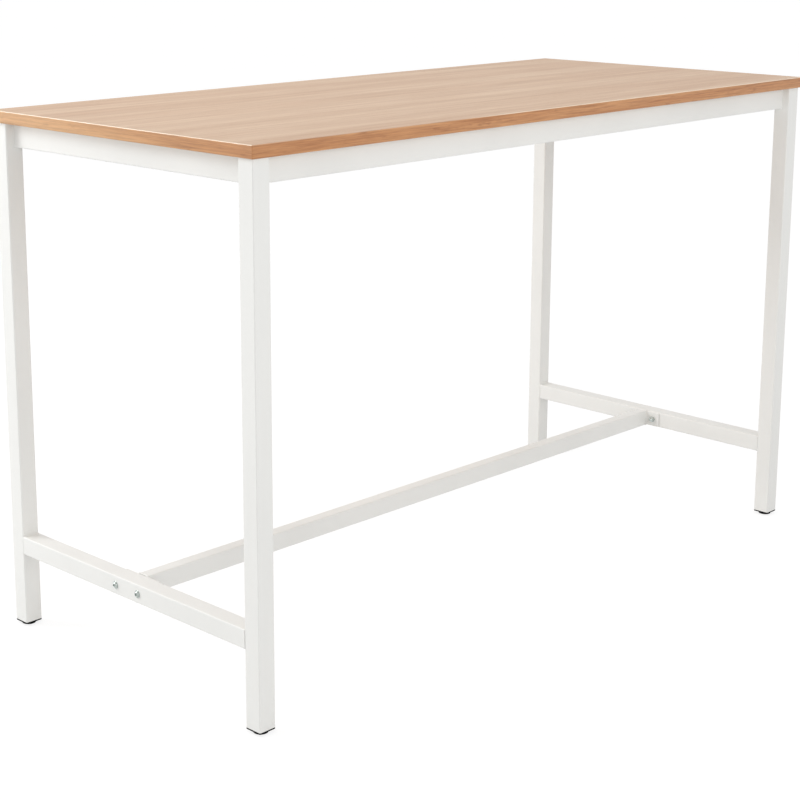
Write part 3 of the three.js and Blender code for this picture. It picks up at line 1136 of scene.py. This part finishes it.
@dataclass
class Frame(Assembly):
    """Legs, rails and stretchers of square tube, and the welds between those that are welded."""

    corner: float = 3.0 * MM
    wall: float = 1.5 * MM
    bead: float = 1.7 * MM
    ripple: float = 2.6 * MM
    spacing: float = 0.45 * MM
    board_gap: float = 1.2 * MM

    def build(self) -> None:
        """Makes the tubes and the beads."""
        for corner in CORNERS:
            self.tube(f"leg_{corner}", Lie.UPRIGHT)
        for end in ENDS:
            self.tube(f"end_rail_{end}", Lie.DEPTH)
            self.tube(f"end_stretcher_{end}", Lie.DEPTH)
        for side in SIDES:
            self.tube(f"long_rail_{side}", Lie.LENGTH)
        self.tube("long_stretcher", Lie.LENGTH)
        for end, outward in zip(ENDS, SIGNS):
            for side, sign in zip(SIDES, SIGNS):
                for kind in ("end_rail", "end_stretcher"):
                    self.weld_to_leg(kind, end, outward, side, sign)
        for end, sign in zip(ENDS, SIGNS):
            self.weld_to_plate(end, sign)

    def tube(self, node: str, lie: Lie) -> None:
        """Makes one tube in the place of its node."""
        surface = tube_surface(*node_box(node), lie, self.corner, self.wall)
        self.shop.make(f"{node}_tube", surface, "white_coat", stands_for=[node])

    def weld_to_leg(self, kind: str, end: str, outward: int, side: str, sign: int) -> None:
        """Lays a bead round three sides of one end of an end rail or end stretcher.

        A rail's bead stops short of the board. A stretcher's outer side is ground flush.

        Args:
            kind: the rail or the stretcher.
            end: of the table.
            outward: the sign of that end along the table's length.
            side: of the table.
            sign: of that side across the table's depth.
        """
        low, high = node_box(f"{kind}_{end}")
        outer, inner = (low[0], high[0]) if outward < 0 else (high[0], low[0])
        step = math.copysign(self.corner, inner - outer)
        is_rail = kind == "end_rail"
        bottom, rise = low[2], high[2] - (self.bead + self.board_gap if is_rail else 0)
        under = [[outer + step, bottom], [inner - step, bottom]]
        up = [[inner, bottom + self.corner], [inner, rise - self.corner]]
        down = [[outer, rise - self.corner], [outer, bottom + self.corner]]
        over = [[inner - step, high[2]], [outer + step, high[2]]]
        line = np.array(down + under + up if is_rail else under + up + over)
        path = np.insert(even_points(line, self.spacing), 1, (low if sign < 0 else high)[1], axis=1)
        self.lay_bead(f"weld_{kind}_{side}_{end}", path, (0, sign, 0))

    def weld_to_plate(self, end: str, sign: int) -> None:
        """Lays a bead round one end of the long stretcher.

        Args:
            end: of the table.
            sign: of that end along the table's length.
        """
        low, high = node_box("long_stretcher")
        width, height = (high - low)[1:]
        outline = rounded_outline(width, height, self.corner) + ((low + high) / 2)[1:]
        loop = even_points(np.concatenate([outline, outline[:1]]), self.spacing)
        path = np.insert(loop, 0, (low if sign < 0 else high)[0], axis=1)
        self.lay_bead(f"weld_long_stretcher_{end}", path, (sign, 0, 0))

    def lay_bead(self, name: str, path: np.ndarray, along: Sequence[float]) -> None:
        """Makes one bead.

        Args:
            name: the bead's name.
            path: points along the bead.
            along: the direction of the tube that it closes.
        """
        heading = np.gradient(path, axis=0)
        heading /= np.linalg.norm(heading, axis=1, keepdims=True)
        side = np.broadcast_to(np.asarray(along, float), path.shape)
        surface = bead_surface(path, side, np.cross(heading, side), self.bead, self.ripple)
        self.shop.make(name, surface, "white_coat")


@dataclass
class StretcherJoints(Assembly):
    """End plates, bolts and cap nuts that hold the long stretcher between the end stretchers.

    A nut's bevels are how far they cut in from its flats and along its height.
    """

    edge: float = 0.7 * MM
    plate_corner: float = 1.5 * MM
    bolt: Fastener = Fastener(
        8 * MM, 4.5 * MM, Drive.HEXAGON, recess=5 * MM, depth=2.5 * MM, button=13 * MM
    )
    flats: float = 13.0 * MM
    hexagon: float = 7.0 * MM
    dome: float = 6.0 * MM
    dome_foot: float = 0.15 * MM
    seat_bevel: Pair = (0.2 * MM, 0.5 * MM)
    crown_bevel: Pair = (0.25 * MM, 0.7 * MM)
    ease: float = 0.1 * MM
    columns: int = 96

    def build(self) -> None:
        """Makes the plates, bolts and nuts."""
        for end, sign in zip(ENDS, SIGNS):
            outward, inward = (sign, 0, 0), (-sign, 0, 0)
            node = f"stretcher_plate_{end}"
            low, high = node_box(node)
            thick, width, height = high - low
            plate = slab_surface(width, height, thick, self.plate_corner, self.edge)
            self.fit(f"end_plate_{end}", node, plate, "white_coat", inward)
            for side in SIDES:
                place = f"{end}_{side}"
                self.fasten(f"joint_bolt_{place}", f"stretcher_bolt_{place}", self.bolt, outward)
                nut = self.cap_nut()
                self.fit(f"cap_nut_{place}", f"stretcher_nut_{place}", nut, "zinc", inward)

    def cap_nut(self) -> Surface:
        """A hexagon cut by cones at both ends, with a dome on it.

        Each ring is the smaller of its own circle and the hexagon, and the dome is a quarter circle.

        Returns:
            The surface, from its seat at zero up.
        """
        hexagon = Drive.HEXAGON.outline(turns(self.columns)) * self.flats
        flat, point = self.flats / 2, self.flats / math.sqrt(3)
        (seat_in, seat_up), (crown_in, crown_down) = self.seat_bevel, self.crown_bevel
        top, ease = self.hexagon, self.ease
        sweep = np.linspace(0, QUARTER_TURN, 10)
        circle = [
            [0, flat - seat_in, point + ease, point + ease],
            np.linspace(point, flat - crown_in, 4),
            [self.dome + self.dome_foot],
            self.dome * np.cos(sweep),
        ]
        level = [
            [0, 0, seat_up, top - crown_down - ease / 2],
            np.linspace(top - crown_down, top - ease, 4),
            [top],
            top + ease + (self.dome - ease) * np.sin(sweep),
        ]
        ring = np.minimum(np.concatenate(circle)[:, None], hexagon[None, :])
        return polar_surface(ring, np.concatenate(level))


@dataclass
class TopFixings(Assembly):
    """Braces and tabs under the board, with their bolts and screws."""

    bolt: Fastener = Fastener(6 * MM, 3.5 * MM, Drive.HEXAGON, recess=4 * MM, depth=2 * MM)
    screw: Fastener = Fastener(
        4.5 * MM, 3 * MM, Drive.CROSS, recess=5.2 * MM, depth=1.8 * MM, point=3 * MM
    )

    def build(self) -> None:
        """Dresses the pressed pieces and makes the fasteners."""
        for corner in CORNERS:
            self.shop.dress(f"corner_brace_{corner}", "white_coat")
            inward = (0, 1 if corner.startswith("front") else -1, 0)
            self.fasten(f"corner_bolt_{corner}", f"brace_bolt_{corner}", self.bolt, inward)
        for side in SIDES:
            for place in ("left", "middle", "right"):
                spot = f"{side}_{place}"
                self.shop.dress(f"top_lug_{spot}", "white_coat")
                self.fasten(f"wood_screw_{spot}", f"top_screw_{spot}", self.screw, DOWN)


@dataclass
class LevellingFeet(Assembly):
    """Round feet on threaded studs, screwed into the plugs of the legs."""

    edge: float = 1.5 * MM
    chamfer: float = 0.6 * MM
    hollow: float = 0.3 * MM
    hollow_rim: float = 4.0 * MM
    shoulder: float = 3.0 * MM
    socket: float = 4.3 * MM
    lip: float = 0.4 * MM
    base: float = 2.0 * MM
    pad_columns: int = 72
    pitch: float = 1.25 * MM
    thread: float = 0.62 * MM
    crest: float = 0.125
    lead: float = 1.0 * MM
    pitch_rings: int = 10
    stud_columns: int = 32

    def build(self) -> None:
        """Dresses the plugs and makes the feet."""
        makers = (("pad", "glide", "black_plastic", self.pad), ("stud", "glide_stud", "zinc", self.stud))
        for corner in CORNERS:
            self.shop.dress(f"leg_insert_{corner}", "black_plastic")
            for part, name, slot, make in makers:
                node = f"foot_{part}_{corner}"
                low, high = node_box(node)
                width, _, height = high - low
                surface = make(width / 2, height)
                self.fit(f"{name}_{corner}", node, surface, slot, UP, body=f"foot_{corner}")

    def pad(self, radius: float, height: float) -> Surface:
        """A turned foot: a soft lower edge, a small chamfer above and a socket for its stud.

        Args:
            radius: of the foot.
            height: of the foot.

        Returns:
            The surface, from the floor up.
        """
        turn = np.linspace(0, QUARTER_TURN, 8)
        ring = [
            [0, radius - self.hollow_rim],
            radius - self.edge * (1 - np.sin(turn)),
            radius - self.chamfer * (1 - np.cos(turn)),
            [radius - self.shoulder, self.socket + self.lip, self.socket, self.socket, 0],
        ]
        level = [
            [self.hollow, 0.0],
            self.edge * (1 - np.cos(turn)),
            height - self.chamfer * (1 - np.sin(turn)),
            [height, height, height - self.lip, self.base, self.base],
        ]
        rings = np.concatenate(ring)[:, None] * np.ones(self.pad_columns)
        return polar_surface(rings, np.concatenate(level))

    def stud(self, radius: float, length: float) -> Surface:
        """A screw thread: the radius dips by a triangle wave that climbs one pitch in each turn.

        The wave is cut flat at crests and roots, and a cone leads in at both ends.

        Args:
            radius: over the thread's crests.
            length: of the stud.

        Returns:
            The surface, from zero up.
        """
        turn = turns(self.stud_columns)
        level = np.linspace(0, length, int(length / self.pitch * self.pitch_rings))
        climb = level[:, None] / self.pitch - turn[None, :] / FULL_TURN
        wave = np.abs(np.mod(climb, 1.0) * 2 - 1)
        dip = np.clip(wave * (1 + 2 * self.crest) - self.crest, 0, 1) * self.thread
        ends = np.clip(np.minimum(level, length - level) / self.lead, 0, 1)[:, None]
        ring = np.minimum(radius - dip, radius - self.lead * (1 - ends))
        ring = np.pad(ring, ((1, 1), (0, 0)))
        return polar_surface(ring, np.pad(level, 1, mode="edge"))


@dataclass(frozen=True)
class Lamp:
    """A square soft lamp: where it hangs, what it faces, its side and its power in watts."""

    name: str
    place: Triple
    target: Triple
    size: float
    power: float

    def hang(self) -> None:
        """Hangs the lamp, out of the camera's sight."""
        data = bpy.data.lights.new(self.name, "AREA")
        data.size = self.size
        data.energy = self.power
        lamp = bpy.data.objects.new(self.name, data)
        lamp.visible_camera = False
        aim = (Vector(self.target) - Vector(self.place)).to_track_quat("-Z", "Y")
        lamp.matrix_world = Matrix.Translation(self.place) @ aim.to_matrix().to_4x4()
        bpy.context.scene.collection.objects.link(lamp)


@dataclass
class Studio:
    """A white room: a pale floor, an even white surround, four soft lamps and the camera."""

    camera_place: Triple = (-2.93669, -2.66671, 1.51182)
    yaw: float = 0.78851
    pitch: float = 0.21921
    roll: float = -0.00044
    focal_pixels: float = 1767.83
    image_pixels: int = 800
    sensor: float = 36.0
    shift: Pair = (0.06, -0.12)
    surround: float = 0.74
    floor_tone: float = 0.80
    floor_half: float = 40.0
    floor_drop: float = 0.2 * MM
    shadow_share: float = 0.30
    glow: float = 1.18
    lamps: Tuple[Lamp, ...] = (
        Lamp("key", (-2.6, 2.8, 2.7), (-0.3, 0.0, 0.7), 1.6, 67.0),
        Lamp("sheen", (-3.2, 4.2, 0.75), (-0.9, 0.2, 1.0), 1.0, 13.0),
        Lamp("fill", (-1.6, -2.4, 1.4), (-0.5, 0.0, 0.7), 1.5, 6.5),
        Lamp("front", (0.2, -2.4, 1.5), (0.1, 0.0, 0.8), 1.0, 6.5),
    )

    def build(self) -> None:
        """Sets the view transform and makes the room."""
        bpy.context.scene.view_settings.view_transform = "Standard"
        self.make_camera()
        self.make_world()
        self.make_floor()
        for lamp in self.lamps:
            lamp.hang()

    def make_camera(self) -> None:
        """Stands the camera where the photograph was taken from."""
        level = Vector((math.cos(self.yaw), -math.sin(self.yaw), 0))
        ahead = math.cos(self.pitch) * Vector((math.sin(self.yaw), math.cos(self.yaw), 0))
        ahead.z = -math.sin(self.pitch)
        upright = level.cross(ahead)
        right = math.cos(self.roll) * level + math.sin(self.roll) * upright
        up = math.cos(self.roll) * upright - math.sin(self.roll) * level
        data = bpy.data.cameras.new("camera")
        data.sensor_width = self.sensor
        data.lens = self.focal_pixels * self.sensor / self.image_pixels
        data.shift_x, data.shift_y = self.shift
        camera = bpy.data.objects.new("camera", data)
        turn = Matrix((right, up, -ahead)).transposed().to_4x4()
        camera.matrix_world = Matrix.Translation(self.camera_place) @ turn
        bpy.context.scene.collection.objects.link(camera)
        bpy.context.scene.camera = camera

    @staticmethod
    def seen(graph: Graph) -> Value:
        """Tells what the camera sees straight, in a mirror or through glass from other light.

        Args:
            graph: the graph that asks.

        Returns:
            1 for what is seen and 0 for other light.
        """
        camera, mirror, glass = (
            graph.node("ShaderNodeLightPath", out=f"Is {kind} Ray")
            for kind in ("Camera", "Glossy", "Transmission")
        )
        return camera.larger(mirror).larger(glass)

    def make_world(self) -> None:
        """A surround that is white to look at and a little dimmer as light."""
        world = bpy.data.worlds.new("surround")
        bpy.context.scene.world = world
        world.use_nodes = True
        graph = Graph(world.node_tree)
        light, look = (
            graph.node("ShaderNodeBackground", {}, {"Color": WHITE, "Strength": strength})
            for strength in (self.surround, 1.0)
        )
        shown = graph.node("ShaderNodeMixShader", {}, {0: self.seen(graph), 1: light, 2: look})
        graph.node("ShaderNodeOutputWorld", {}, {"Surface": shown})

    def make_floor(self) -> None:
        """A wide floor that is white to look at, with a faint shadow, and clear from below."""
        half, level = self.floor_half, -self.floor_drop
        mesh = bpy.data.meshes.new("floor")
        plan = [(-half, -half), (half, -half), (half, half), (-half, half)]
        mesh.from_pydata([(x, y, level) for x, y in plan], [], [(0, 1, 2, 3)])
        material, graph = new_material("floor")
        tone = (self.floor_tone, self.floor_tone, self.floor_tone, 1.0)
        matt = graph.node("ShaderNodeBsdfDiffuse", {}, {"Color": tone})
        glow = graph.node("ShaderNodeEmission", {}, {"Color": WHITE, "Strength": self.glow})
        pale = graph.node("ShaderNodeMixShader", {}, {0: self.shadow_share, 1: glow, 2: matt})
        look = graph.node("ShaderNodeMixShader", {}, {0: self.seen(graph), 1: matt, 2: pale})
        clear = graph.node("ShaderNodeBsdfTransparent")
        below = graph.node("ShaderNodeNewGeometry", out="Backfacing")
        shown = graph.node("ShaderNodeMixShader", {}, {0: below, 1: look, 2: clear})
        graph.node("ShaderNodeOutputMaterial", {}, {"Surface": shown})
        mesh.materials.append(material)
        floor = bpy.data.objects.new("floor", mesh)
        bpy.context.scene.collection.objects.link(floor)


def main() -> None:
    """Builds the studio and the table, sub-assembly by sub-assembly."""
    logging.basicConfig(level=logging.INFO, format="%(name)s: %(message)s")
    Studio().build()
    shop = Workshop(build_finishes())
    for kind in (TableTop, Frame, StretcherJoints, TopFixings, LevellingFeet):
        kind(shop).build()
        LOG.info("%s is done", kind.__name__)


if __name__ == "__main__":
    main()
